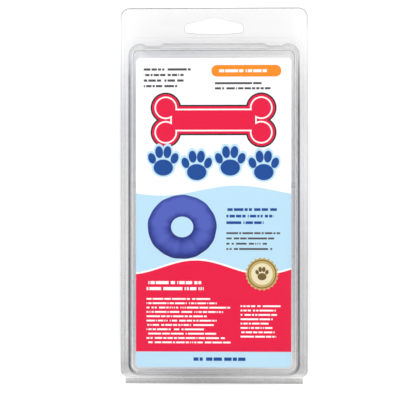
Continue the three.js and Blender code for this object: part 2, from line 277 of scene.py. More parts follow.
def select_only(piece):
    """The piece alone is selected and active."""
    select_none()
    piece.select_set(True)
    bpy.context.view_layer.objects.active = piece


def pick(piece, kind, wanted):
    """In edit mode, selects the vertices, edges or faces that wanted() accepts, and nothing else."""
    select_mesh("DESELECT")
    bpy.ops.mesh.select_mode(type={"verts": "VERT", "edges": "EDGE", "faces": "FACE"}[kind])
    mesh = bmesh.from_edit_mesh(piece.data)
    for element in getattr(mesh, kind):
        if wanted(element):
            element.select_set(True)
    mesh.select_flush_mode()
    bmesh.update_edit_mesh(piece.data)


def join(pieces, name):
    """Several meshes become one object."""
    select_none()
    for piece in pieces:
        piece.select_set(True)
    bpy.context.view_layer.objects.active = pieces[0]
    bpy.ops.object.join()
    whole = bpy.context.object
    whole.name = name
    whole.data.name = name
    return whole


def smooth():
    """The active piece is shaded round, except across its sharp edges."""
    bpy.ops.object.shade_smooth_by_angle(angle=SMOOTH_ANGLE)


def apply_modifier(piece, kind, **settings):
    """Adds a modifier with these settings and applies it."""
    select_only(piece)
    modifier = piece.modifiers.new(kind.title(), kind)
    for setting, value in settings.items():
        setattr(modifier, setting, value)
    bpy.ops.object.modifier_apply(modifier=modifier.name)


def rectangle(width, length, place):
    """A flat rectangle with its middle at a place, alone and in edit mode."""
    select_none()
    bpy.ops.mesh.primitive_plane_add(size=1, location=place)
    flat = bpy.context.object
    flat.scale = (width, length, 1)
    settle()
    mode("EDIT")
    return flat


def select_row(sheet, number):
    """The vertices of one row are selected too."""
    sheet.vertex_groups.active_index = sheet.vertex_groups[f"row_{number:02d}"].index
    bpy.ops.object.vertex_group_select()


def face_out():
    """Turns the faces of the mesh in edit mode outwards."""
    select_mesh()
    bpy.ops.mesh.normals_make_consistent(inside=False)


def round_corners(radius, cuts):
    """Rounds the corners at the selected vertices of a flat mesh."""
    bpy.ops.mesh.bevel(offset=radius, offset_type="OFFSET", segments=cuts, affect="VERTICES", profile=0.5)


def outline(half, foot, head, foot_corner, head_corner, pinch=0.0):
    """A rounded rectangle: half its width, its two ends in Y, its corner radii, and its pinches' depth."""
    return dict(half=half, foot=foot, head=head, foot_corner=foot_corner, head_corner=head_corner, pinch=pinch)


def inset(shape, distance):
    """The same outline drawn in all round, or out by a negative distance."""
    ends = (shape["foot"] + distance, shape["head"] - distance)
    corners = [max(shape[corner] - distance, SHEET) for corner in ("foot_corner", "head_corner")]
    return outline(shape["half"] - distance, *ends, *corners, shape["pinch"])


def between(start, end, share):
    """The outline part of the way from one to another."""
    return {key: start[key] + (end[key] - start[key]) * share for key in start}


# Outlines of the front shell, worked out from the card that it holds.
FACE = outline(
    card_high.x + CARD_SIDE_ROOM, card_low.y - CARD_FOOT_ROOM, card_high.y + CARD_HEAD_ROOM, FACE_CORNER, FACE_CORNER
)
WALL_TOP = inset(FACE, -FACE_ROUND)
WALL_BASE = outline(
    WALL_TOP["half"] + SIDE_LEAN,
    WALL_TOP["foot"] - FOOT_LEAN,
    WALL_TOP["head"] + HEAD_LEAN,
    *(WALL_CORNER, WALL_CORNER, PINCH_DEPTH),
)
FLANGE = outline(front_high.x, front_low.y, front_high.y, FLANGE_FOOT_CORNER, TAB_CORNER)
STEP = outline(
    WALL_BASE["half"] + STEP_SIDE,
    front_low.y + STEP_FOOT,
    WALL_BASE["head"] + STEP_HEAD,
    *(FLANGE_FOOT_CORNER, STEP_CORNER),
)

FACE_HEIGHT = front_high.z
FRONT_FLANGE = front_low.z + SHEET
TRAY_FLANGE = front_low.z - NEST_GAP
RIM_HEIGHT = tray_high.z
LOOP_RADIUS = (loop_high.z - loop_low.z) / 2
LOOP_LENGTH = loop_high.x - loop_low.x
HINGE_LINE = Vector((0, loop_low.y + LOOP_RADIUS, (loop_low.z + loop_high.z) / 2))


def front_wall(height):
    """The outline of the front shell's walls at one height."""
    wall_top = FACE_HEIGHT - FACE_ROUND
    return between(WALL_BASE, WALL_TOP, (height - FRONT_FLANGE) / (wall_top - FRONT_FLANGE))


RIM_BASE_OUTSIDE = inset(WALL_BASE, SHEET + NEST_GAP)
RIM_TOP_OUTSIDE = inset(front_wall(RIM_HEIGHT), SHEET + NEST_GAP)
RIM_TOP_INSIDE = inset(RIM_TOP_OUTSIDE, RIM_WIDTH)
TRAY_FLOOR = outline(
    RIM_TOP_INSIDE["half"] - TRAY_SIDE_LEAN,
    RIM_TOP_INSIDE["foot"] + TRAY_END_LEAN,
    RIM_TOP_INSIDE["head"] - TRAY_END_LEAN,
    *(TRAY_CORNER, TRAY_CORNER),
)


def outline_loop(shape, height, name):
    """One outline as a flat face: a square, stretched, with its corners rounded and its head side cut up."""
    head = shape["head"]
    middle = (shape["foot"] + head) / 2
    loop = rectangle(2 * shape["half"], head - shape["foot"], (0, middle, height))
    loop.name = name
    for end, radius in ((shape["foot"], shape["foot_corner"]), (head, shape["head_corner"])):
        pick(
            loop,
            "verts",
            lambda v: abs(v.co.y - end) < SAME_PLACE and abs(abs(v.co.x) - shape["half"]) < SAME_PLACE,
        )
        round_corners(radius, CORNER_CUTS)
    pick(
        loop,
        "edges",
        lambda e: all(abs(v.co.y - head) < SAME_PLACE for v in e.verts) and e.calc_length() > shape["head_corner"],
    )
    bpy.ops.mesh.subdivide(number_cuts=HEAD_CUTS)
    if shape["pinch"] > 0:
        press_pinches(loop, shape)
    mode("OBJECT")
    group = loop.vertex_groups.new(name=name)
    group.add(range(len(loop.data.vertices)), 1, "REPLACE")
    return loop


def press_pinches(loop, shape):
    """Moves two stretches of the head side in, each in small steps that narrow, so that its ends slope."""
    eases = [math.sin(math.pi * (step + 0.5) / PINCH_STEPS) for step in range(PINCH_STEPS)]
    for step, ease in enumerate(eases):
        reach = PINCH_FLAT / 2 + PINCH_RAMP * (1 - (step + 0.5) / PINCH_STEPS)
        pick(
            loop,
            "verts",
            lambda v: v.co.y > shape["head"] - PINCH_DEPTH - MM / 10 and abs(abs(v.co.x) - PINCH_OFFSET) < reach,
        )
        bpy.ops.transform.translate(value=(0, -shape["pinch"] * ease / sum(eases), 0))


def formed_sheet(name, rows):
    """A sheet through a row of outlines, each bridged to the next, with the first one left closed.
    The outlines stand far apart while they are bridged, and are then moved to their own heights."""
    loops = [
        outline_loop(shape, height + number * ROW_APART, f"row_{number:02d}")
        for number, (shape, height) in enumerate(rows)
    ]
    for loop in loops[1:]:
        select_only(loop)
        mode("EDIT")
        select_mesh()
        bpy.ops.mesh.delete(type="ONLY_FACE")
        mode("OBJECT")
    sheet = join(loops, name)
    mode("EDIT")
    for number in range(len(rows) - 1):
        select_mesh("DESELECT")
        bpy.ops.mesh.select_mode(type="EDGE")
        select_row(sheet, number)
        select_row(sheet, number + 1)
        mesh = bmesh.from_edit_mesh(sheet.data)
        for edge in mesh.edges:
            # Only the two loops' own edges are bridged, not the walls between them or the cap's face.
            if edge.select and edge.is_manifold:
                edge.select_set(False)
        bmesh.update_edit_mesh(sheet.data)
        bpy.ops.mesh.bridge_edge_loops()
    for number in range(1, len(rows)):
        select_mesh("DESELECT")
        bpy.ops.mesh.select_mode(type="VERT")
        select_row(sheet, number)
        bpy.ops.transform.translate(value=(0, 0, -number * ROW_APART))
    face_out()
    mode("OBJECT")
    sheet.vertex_groups.clear()
    return sheet


def face_the_front(sheet):
    """Turns the faces so that the closed end looks towards +Z."""
    select_only(sheet)
    flat = max(sheet.data.polygons, key=lambda face: face.area)
    if flat.normal.z < 0:
        mode("EDIT")
        select_mesh()
        bpy.ops.mesh.flip_normals()
        mode("OBJECT")


def quarter(steps):
    """Angles of a quarter turn, from 0 to 90 degrees."""
    return [math.pi / 2 * step / steps for step in range(steps + 1)]


def flange_rows(wall, height):
    """The hollow at the foot of a wall, the shallow step round it, and the flange out to its cut edge."""
    raised = height + STEP_HEIGHT
    rows = [
        (inset(wall, FOOT_ROUND * (math.cos(turn) - 1)), raised + FOOT_ROUND * (1 - math.sin(turn)))
        for turn in quarter(ROUND_CUTS)
    ]
    for share in (0, 0.25, 0.5, 0.75, 1):
        fall = share * share * (3 - 2 * share)
        rows.append((inset(STEP, STEP_RUN * (0.5 - share)), raised - STEP_HEIGHT * fall))
    return rows + [(FLANGE, height)]


def front_rows():
    """The front shell's outer side, from its face to its flange."""
    rows = [
        (inset(FACE, -FACE_ROUND * math.sin(turn)), FACE_HEIGHT - FACE_ROUND * (1 - math.cos(turn)))
        for turn in quarter(ROUND_CUTS + 1)
    ]
    foot = FRONT_FLANGE + STEP_HEIGHT + FOOT_ROUND
    for rise in WALL_ROWS:
        rows.append((front_wall(RIM_HEIGHT + rise), RIM_HEIGHT + rise))
    return rows + flange_rows(front_wall(foot), FRONT_FLANGE)


def tray_rows():
    """The tray's inner side: its floor, wall, rim and outer wall, and its flange."""
    floor = SHEET
    depth = RIM_HEIGHT - floor

    def inner_wall(height):
        return between(TRAY_FLOOR, RIM_TOP_INSIDE, (height - floor) / depth)

    rows = []
    for turn in quarter(ROUND_CUTS + 1):
        height = floor + FLOOR_ROUND * (1 - math.cos(turn))
        rows.append((inset(inner_wall(height), FLOOR_ROUND * (1 - math.sin(turn))), height))
    for height in TRAY_WALL_HEIGHTS:
        rows.append((inner_wall(height), height))
    for turn in quarter(ROUND_CUTS - 1):
        height = RIM_HEIGHT - RIM_ROUND * (1 - math.sin(turn))
        rows.append((inset(RIM_TOP_INSIDE, -RIM_ROUND * (1 - math.cos(turn))), height))
    for turn in quarter(ROUND_CUTS - 1):
        height = RIM_HEIGHT - RIM_ROUND * (1 - math.cos(turn))
        rows.append((inset(RIM_TOP_OUTSIDE, RIM_ROUND * (1 - math.sin(turn))), height))
    foot = TRAY_FLANGE + STEP_HEIGHT + FOOT_ROUND
    share = (foot - TRAY_FLANGE) / (RIM_HEIGHT - TRAY_FLANGE)
    return rows + flange_rows(between(RIM_BASE_OUTSIDE, RIM_TOP_OUTSIDE, share), TRAY_FLANGE)


def slot_cutter():
    """The hanging slot as a solid: a low roof with a rounded peak, and a foot that bows down."""
    shoulder = front_high.y - SLOT_MARGIN - SLOT_PEAK
    foot = shoulder - SLOT_SHOULDER
    half = SLOT_WIDTH / 2
    peak = SLOT_PEAK_WIDTH / 2
    cutter = rectangle(SLOT_WIDTH, SLOT_SHOULDER, (0, (shoulder + foot) / 2, TRAY_FLANGE - SLOT_TOOL_DEPTH / 2))
    shares = [cut / SLOT_CUTS for cut in range(1 - SLOT_CUTS, SLOT_CUTS)]
    for share in shares:
        select_mesh()
        bpy.ops.mesh.bisect(plane_co=(share * half, 0, 0), plane_no=(1, 0, 0))
    for share in shares:
        across = share * half
        slope = 1 - max(abs(across) - peak, 0) / (half - peak)
        rise = (SLOT_PEAK - SLOT_CROWN) * slope + max(1 - (across / peak) ** 2, 0) * SLOT_CROWN
        pick(cutter, "verts", lambda v: abs(v.co.x - across) < SAME_PLACE and v.co.y > shoulder - SAME_PLACE)
        bpy.ops.transform.translate(value=(0, rise, 0))
        pick(cutter, "verts", lambda v: abs(v.co.x - across) < SAME_PLACE and v.co.y < foot + SAME_PLACE)
        bpy.ops.transform.translate(value=(0, -SLOT_BOW * (1 - share**2), 0))
    pick(cutter, "verts", lambda v: abs(abs(v.co.x) - half) < SAME_PLACE)
    round_corners(SLOT_CORNER, ROUND_CUTS)
    select_mesh()
    bpy.ops.mesh.extrude_region_move(TRANSFORM_OT_translate={"value": (0, 0, SLOT_TOOL_DEPTH)})
    face_out()
    mode("OBJECT")
    return cutter


def cut_and_edge(sheet, height, cutter):
    """Gives a formed sheet its thickness, cuts the slot, and eases the cut edges on its open side."""
    face_the_front(sheet)
    apply_modifier(sheet, "SOLIDIFY", thickness=SHEET, offset=-1, use_even_offset=True)
    apply_modifier(sheet, "BOOLEAN", operation="DIFFERENCE", solver="EXACT", object=cutter)
    select_only(sheet)
    mode("EDIT")
    pick(
        sheet,
        "edges",
        lambda e: len(e.link_faces) == 2
        and e.calc_face_angle() > SHARP
        and all(abs(v.co.z - height) < MM / 50 for v in e.verts),
    )
    bpy.ops.mesh.bevel(offset=CUT_EDGE, segments=3, affect="EDGES", profile=0.5)
    mode("OBJECT")


def hinge_half(height, radius, sweep, thickness):
    """Half of the folding loop: a flat lead from a flange, spun on round the hinge line."""
    rise = height - HINGE_LINE.z
    start = HINGE_LINE.y + radius * math.cos(math.asin(rise / radius))
    lead = front_low.y + HINGE_LAP
    half = rectangle(LOOP_LENGTH, lead - start, (0, (lead + start) / 2, height))
    pick(half, "verts", lambda v: v.co.y < start + SAME_PLACE)
    bpy.ops.mesh.spin(steps=LOOP_CUTS, angle=sweep, center=HINGE_LINE, axis=(1, 0, 0))
    select_mesh()
    bpy.ops.mesh.remove_doubles(threshold=MM / 100)
    face_out()
    mode("OBJECT")
    apply_modifier(half, "SOLIDIFY", thickness=thickness, offset=0)
    return half


def card_nub(side):
    """A small wedge that holds the card's edge, pressed into a side wall."""
    select_none()
    inner = card_high.x - NUB_OVERLAP
    outer = WALL_TOP["half"] - SHEET / 2
    middle = card_low.z - NUB_UNDER_CARD - NUB_HEIGHT / 2
    along = (card_low.y + card_high.y) / 2 + NUB_ABOVE_MIDDLE
    bpy.ops.mesh.primitive_cube_add(size=1, location=(side * (inner + outer) / 2, along, middle))
    nub = bpy.context.object
    nub.scale = (outer - inner, NUB_LENGTH, NUB_HEIGHT)
    settle()
    mode("EDIT")
    pick(nub, "verts", lambda v: abs(v.co.x) < inner + MM / 10 and v.co.z < middle)
    bpy.ops.transform.translate(value=(0, 0, NUB_WEDGE))
    select_mesh()
    bpy.ops.mesh.bevel(offset=NUB_ROUND, segments=3, affect="EDGES")
    mode("OBJECT")
    return nub


cutter = slot_cutter()
front_sheet = formed_sheet("front_sheet", front_rows())
cut_and_edge(front_sheet, FRONT_FLANGE, cutter)
front_loop = hinge_half(FRONT_FLANGE - SHEET / 2, LOOP_RADIUS - SHEET / 2, FRONT_SWEEP, FRONT_LOOP_SHEET)
clear_front = join([front_sheet, front_loop, card_nub(-1), card_nub(1)], "clear_front")
smooth()

tray_sheet = formed_sheet("tray_sheet", tray_rows())
cut_and_edge(tray_sheet, TRAY_FLANGE - SHEET, cutter)
tray_loop = hinge_half(TRAY_FLANGE - SHEET / 2, LOOP_RADIUS - 1.7 * SHEET, TRAY_SWEEP, TRAY_LOOP_SHEET)
clear_tray = join([tray_sheet, tray_loop], "clear_tray")
smooth()
bpy.data.objects.remove(cutter)

for piece, body in ((clear_front, "front"), (clear_tray, "tray")):
    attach(piece, body)
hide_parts("front_shell")
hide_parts("rear_tray", "living_hinge")


class Value:
    """What a socket gives; arithmetic on it adds Math nodes to its finish."""

    def __init__(self, finish, socket):
        self.finish = finish
        self.socket = socket

    def maths(self, operation, *others):
        """A Math node on this value and others, in that order."""
        return self.finish.node("ShaderNodeMath", {"operation": operation}, dict(enumerate((self, *others))))

    def clamped(self):
        """The value, kept from 0 to 1."""
        return self.maths("MINIMUM", 1).maths("MAXIMUM", 0)

    def fade(self, start, end):
        """0 up to the start, 1 from the end on, and even between them, whichever of them is greater."""
        return ((self - start) / (end - start)).clamped()

    def band(self, middle, reach, full):
        """1 nearer to the middle than full, falling to 0 at the reach."""
        return abs(self - middle).fade(reach, full)

    def __add__(self, other):
        return self.maths("ADD", other)

    def __sub__(self, other):
        return self.maths("SUBTRACT", other)

    def __rsub__(self, other):
        return self.finish.node("ShaderNodeMath", {"operation": "SUBTRACT"}, {0: other, 1: self})

    def __mul__(self, other):
        return self.maths("MULTIPLY", other)

    def __truediv__(self, other):
        return self.maths("DIVIDE", other)

    def __pow__(self, other):
        return self.maths("POWER", other)

    def __abs__(self):
        return self.maths("ABSOLUTE")

    __radd__ = __add__
    __rmul__ = __mul__


class Finish:
    """A material in the making."""

    def __init__(self, name):
        self.material = bpy.data.materials.new(name)
        self.material.use_nodes = True
        self.tree = self.material.node_tree
        self.tree.nodes.clear()

    def node(self, kind, settings=None, inputs=None, output=0):
        """A node of this kind, with its settings made first and then its sockets; gives one output."""
        made = self.tree.nodes.new(kind)
        for setting, value in (settings or {}).items():
            setattr(made, setting, value)
        for socket, value in (inputs or {}).items():
            if isinstance(value, Value):
                self.tree.links.new(value.socket, made.inputs[socket])
            else:
                made.inputs[socket].default_value = value
        return Value(self, made.outputs[output])

    def ramp(self, stops, place):
        """A row of colours, each with its position, read at a place from 0 to 1."""
        made = self.node("ShaderNodeValToRGB", inputs={"Fac": place})
        elements = made.socket.node.color_ramp.elements
        for number, (position, shade) in enumerate(stops):
            stop = elements[number] if number < 2 else elements.new(position)
            stop.position = position
            stop.color = shade
        return made

    def bump(self, strength, distance, height):
        """Small relief, in metres at full strength."""
        return self.node("ShaderNodeBump", inputs={"Strength": strength, "Distance": distance, "Height": height})

    def facing(self, blend):
        """From 0 where the surface is seen face on to 1 where it is seen edge on."""
        return self.node("ShaderNodeLayerWeight", inputs={"Blend": blend}, output="Facing")

    def body(self, inputs):
        """An everyday opaque surface."""
        return self.node("ShaderNodeBsdfPrincipled", inputs=inputs)

    def place(self):
        """X, Y and Z over the piece, in millimetres of the model's frame."""
        coordinates = self.node("ShaderNodeTexCoord", output="Object")
        parts = self.node("ShaderNodeSeparateXYZ", inputs={0: coordinates})
        made = parts.socket.node
        return [Value(self, made.outputs[axis]) * 1000 for axis in range(3)]

    def noise(self, scale, detail=2.0, **inputs):
        """Noise on Object coordinates, about 0.5."""
        coordinates = self.node("ShaderNodeTexCoord", output="Object")
        inputs = {"Vector": coordinates, "Scale": scale, "Detail": detail, **inputs}
        return self.node("ShaderNodeTexNoise", inputs=inputs)

    def from_outline(self, shape, across, along):
        """Distance from a rounded rectangle's edge, in millimetres: below 0 inside it."""
        corner = shape["head_corner"] * 1000
        middle = (shape["head"] + shape["foot"]) / 2 * 1000
        reach = (shape["head"] - shape["foot"]) / 2 * 1000 - corner
        out_x = (abs(across) - (shape["half"] * 1000 - corner)).maths("MAXIMUM", 0)
        out_y = (abs(along - middle) - reach).maths("MAXIMUM", 0)
        return (out_x * out_x + out_y * out_y) ** 0.5 - corner

    def over(self, under, mask, shade):
        """A colour laid over another where the mask is 1."""
        return self.node("ShaderNodeMix", {"data_type": "RGBA"}, {0: mask, 6: under, 7: shade}, 2)

    def clear(self):
        """Nothing but a faint loss of light."""
        return self.node("ShaderNodeBsdfTransparent", inputs={"Color": (0.995, 0.995, 0.995, 1)})

    def shine_through(self, share, first, second):
        """Two shaders mixed by a share of the second."""
        return self.node("ShaderNodeMixShader", inputs={0: share, 1: first, 2: second})

    def done(self, surface):
        """Joins the surface to the output and gives the material."""
        output = self.tree.nodes.new("ShaderNodeOutputMaterial")
        self.tree.links.new(surface.socket, output.inputs["Surface"])
        return self.material


def colour(red, green, blue):
    """A colour as nodes take it, from the 0 to 255 scale of a screen."""
    linear = []
    for part in (red, green, blue):
        share = part / 255
        linear.append(share / 12.92 if share <= 0.04045 else ((share + 0.055) / 1.055) ** 2.4)
    return (*linear, 1)


def clear_plastic(name, flange_height, edge_height, wall_veil, shade_line_veil):
    """Thin formed clear sheet: almost nothing face on, greyer where it is seen edge on, with painted shade along the
    flange and walls, a painted shade line at the foot of its walls, painted shade along the crease round its highest
    edge, a few painted highlights, and a hard gloss."""
    finish = Finish(name)
    across, along, height = finish.place()
    above = height - flange_height * 1000
    facing = finish.facing(0.5)
    ripple = finish.bump(0.12, 0.6 * MM, finish.noise(26.0, 1.0))

    # Stretches of the pack.
    right = across.fade(*RIGHT_FADE)
    middle = along.band(*MIDDLE_BAND)
    head = along.fade(*HEAD_FADE)
    top = along.fade(*TOP_FADE)
    foot_stretch = along.fade(*FOOT_STRETCH_FADE)
    foot_middle = across.band(*FOOT_MIDDLE_BAND) * foot_stretch

    # The flange: painted shade by its place along the pack, painted highlights along the middle of its right side and
    # beside the left wall, less grey within the walls, and painted shade along its outline.
    flange = above.fade(*FLANGE_FADE)
    greys = [(place, (share, share, share, 1)) for place, share in zip(FLANGE_SHADE_PLACES, FLANGE_SHADE_SHARES)]
    depth = finish.ramp(greys, (along - FLANGE_SHADE_START) / FLANGE_SHADE_LENGTH)
    depth = depth * (1 - RIGHT_PAINTED_HIGHLIGHT * right * middle)
    inside = finish.from_outline(inset(WALL_BASE, INSIDE_MARGIN), across, along).fade(*INSIDE_FADE)
    depth = depth * (1 - inside) + INSIDE_VEIL * inside
    beside_wall_highlight = across.band(-WALL_BASE["half"] * 1000 - BESIDE_WALL, BESIDE_WALL_REACH, 0)
    depth = depth * (1 - BESIDE_WALL_PAINTED_HIGHLIGHT * beside_wall_highlight * along.band(*STRAIGHT_BAND))
    rim = finish.from_outline(FLANGE, across, along).fade(*RIM_FADE)

    # The walls with their painted shade, the painted shade line at their foot, and the crease with its painted shade.
    rise = above.fade(*WALL_FADE)
    foot_shade_line = rise * above.fade(*FOOT_LINE_FADE) * along.fade(*ABOVE_FOOT_FADE)
    shade_line_share = (LINE_MIDDLE - along / LINE_LENGTH) * (1 - LINE_HEAD_CLEARING * head)
    shade_line_right = LINE_RIGHT_GAIN * middle - LINE_LOW_CLEARING * along.fade(*LOW_RIGHT_FADE)
    shade_line_share = shade_line_share * (1 + right * shade_line_right)
    walls = (rise - foot_shade_line) * (FACE_HEIGHT * 1000 - height).fade(*UNDER_FACE_FADE)
    crease = height.band(edge_height * 1000 - CREASE_BELOW, CREASE_REACH, 0)

    # The sheet's own faint grey, clouded a little, with the painted shade and painted highlights above, grey across
    # the middle of the foot, and a painted highlight line at the foot edge.
    veil_and_painted_shade = (
        CLEAR_VEIL
        + CLOUD_VEIL * finish.noise(18.0, 3.0)
        + flange * (depth + rim * (RIM_PAINTED_SHADE + TOP_RIM_PAINTED_SHADE * top) + FOOT_MIDDLE_VEIL * foot_middle)
        + wall_veil * facing.fade(*EDGE_ON_FADE)
        + (WALL_PAINTED_SHADE + FOOT_PAINTED_SHADE * foot_stretch + FOOT_MIDDLE_VEIL * foot_middle + RIGHT_PAINTED_SHADE * right - HEAD_PAINTED_HIGHLIGHT * head) * walls
        + shade_line_veil * foot_shade_line * shade_line_share
        + CREASE_PAINTED_SHADE * crease * (1 + CREASE_AT_HEAD * head)
    ).maths("MINIMUM", MOST_VEIL) * (1 - FOOT_EDGE_PAINTED_HIGHLIGHT * along.band(*FOOT_EDGE_BAND))
    # Painted dark lines: the shade line at the walls' foot, the crease and the end of the folding loop take a dark
    # violet grey.
    painted_dark_lines = foot_shade_line.maths("MAXIMUM", crease).maths("MAXIMUM", 0.6 * along.fade(*LOOP_END_FADE))
    shade = finish.over(colour(160, 160, 159), painted_dark_lines, colour(55, 53, 74))
    body = finish.body({"Base Color": shade, "Roughness": 0.3, "IOR": 1.45, "Normal": ripple})
    gloss = finish.node("ShaderNodeBsdfGlossy", inputs={"Color": (1, 1, 1, 1), "Roughness": 0.04, "Normal": ripple})
    shine = 0.006 + 0.45 * facing**4
    return finish.done(finish.shine_through(shine, finish.shine_through(veil_and_painted_shade, finish.clear(), body), gloss))


def cut_plastic():
    """The sheet's cut edge: the same plastic, greyer because light runs along the sheet and out here."""
    finish = Finish("cut_plastic_edge")
    roughness = 0.35 + 0.2 * finish.noise(400.0)
    body = finish.body({"Base Color": colour(112, 112, 114), "Roughness": roughness, "IOR": 1.45})
    across, along, _ = finish.place()
    head = along.fade(*CUT_HEAD_FADE)
    beyond_slot = (SLOT_WIDTH / 2 + 3 * MM) * 1000
    slot = abs(across).fade(beyond_slot, beyond_slot - 1) * along.fade(*UNDER_SLOT_FADE)
    veil_and_painted_shade = CUT_VEIL + CUT_CLOUDS * finish.noise(60.0) + (CUT_AT_HEAD - CUT_AT_SLOT * slot) * head
    return finish.done(finish.shine_through(veil_and_painted_shade, finish.clear(), body))


def edge_the_sheet(piece, material):
    """Gives the narrow faces round the flange and the slot a finish of their own, but not those along the loop."""
    piece.data.materials.append(material)
    for face in piece.data.polygons:
        beyond = (
            abs(face.center.x) > STEP["half"] + MM
            or face.center.y > STEP["head"] + MM
            or (face.center.y < front_low.y + CUT_EDGE and abs(face.center.x) > LOOP_LENGTH / 2)
        )
        if beyond and abs(face.normal.z) < 0.97 and face.center.y > front_low.y - MM / 20:
            face.material_index = 1


class Motif:
    """Shapes about a middle, each as the distance to its edge in millimetres: below 0 inside it."""

    def __init__(self, x, y):
        self.x = x
        self.y = y

    def disc(self, x, y, across, up, turn=0.0):
        """An oval, turned by an angle."""
        dx, dy = self.x - x, self.y - y
        along = (dx * math.cos(turn) + dy * math.sin(turn)) / across
        aside = (dy * math.cos(turn) - dx * math.sin(turn)) / up
        return ((along * along + aside * aside) ** 0.5 - 1) * min(across, up)

    def panel(self, x, y, half_width, half_height, radius):
        """A rectangle with round corners."""
        dx = (abs(self.x - x) - (half_width - radius)).maths("MAXIMUM", 0)
        dy = (abs(self.y - y) - (half_height - radius)).maths("MAXIMUM", 0)
        return (dx * dx + dy * dy) ** 0.5 - radius

    def union(self, first, *others):
        """Several shapes together."""
        for other in others:
            first = first.maths("MINIMUM", other)
        return first

    def paw(self, pad, *toes):
        """A paw print: a pad, and its toes, each on both sides."""
        both = [(side, toe) for toe in toes for side in (-1, 1)]
        discs = [self.disc(side * x, y, across, up, -side * turn) for side, (x, y, across, up, turn) in both]
        return self.union(self.disc(0, *pad), *discs)


class Print(Motif):
    """A printed design in millimetres from the card's middle, laid down colour by colour."""

    def __init__(self, finish, ground):
        across, along, self.height = finish.place()
        super().__init__(across, along - (card_low.y + card_high.y) / 2 * 1000)
        self.finish = finish
        self.ink = ground

    def mask(self, distance):
        """1 inside a shape and 0 outside it, from the distance to its edge."""
        return distance.fade(PRINT_EDGE / 2, -PRINT_EDGE / 2)

    def lay(self, mask, shade):
        """A colour laid over what is printed, where the mask is 1."""
        self.ink = self.finish.over(self.ink, mask, shade)

    def fill(self, distance, shade):
        """A shape filled with a colour."""
        self.lay(self.mask(distance), shade)

    def small_print(self, shade, left, right, top, rows, pitch, thickness, seed):
        """Rows of short bars in the place of small print, of uneven length and with gaps between words."""
        row = ((top - self.y) / pitch).maths("FLOOR")
        within = (top - self.y) / pitch - row
        bar = self.mask((abs(within - 0.5) - thickness / pitch / 2) * pitch)
        ends = self.finish.node(
            "ShaderNodeTexWhiteNoise", {"noise_dimensions": "1D"}, {"W": row * 1.37 + seed}, "Value"
        )
        reach = self.mask(self.x - (right - (right - left) * LINE_ENDS * ends)) * self.mask(left - self.x)
        word = self.finish.node(
            "ShaderNodeCombineXYZ", inputs={0: (self.x / WORD_STEP).maths("FLOOR"), 1: row + seed}
        )
        words = self.finish.node("ShaderNodeTexWhiteNoise", {"noise_dimensions": "2D"}, {"Vector": word}, "Value")
        rows_in = self.mask(self.y - top) * self.mask(top - rows * pitch - self.y)
        self.lay(bar * reach * words.maths("GREATER_THAN", WORD_GAPS) * rows_in, shade)


